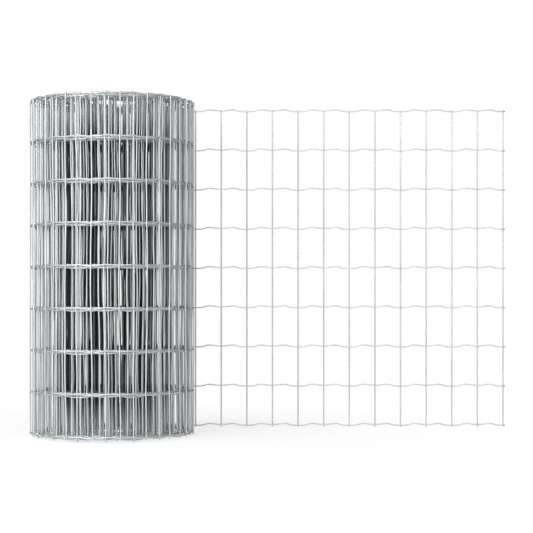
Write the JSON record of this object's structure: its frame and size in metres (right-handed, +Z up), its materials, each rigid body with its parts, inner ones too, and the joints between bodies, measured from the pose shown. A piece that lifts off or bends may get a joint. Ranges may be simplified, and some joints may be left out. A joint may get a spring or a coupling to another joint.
{
  "type": "roll of wire fencing",
  "caption": "Upright roll of galvanised welded wire fencing with crimped line wires, its free end drawn out flat from the back.",
  "frame": {"origin": "the roll's axis at its base, on the floor", "axes": "+Z up along the roll's bore; +X along the free end, which leaves the roll's back at +Y"},
  "size_m": [0.9043, 0.308, 0.6193],
  "materials": {
    "galvanised_wire": "hot-dip galvanised, satin"
  },
  "bodies": {
    "root": {"wound_roll": "galvanised_wire", "free_end": "galvanised_wire"}
  },
  "joints": []
}
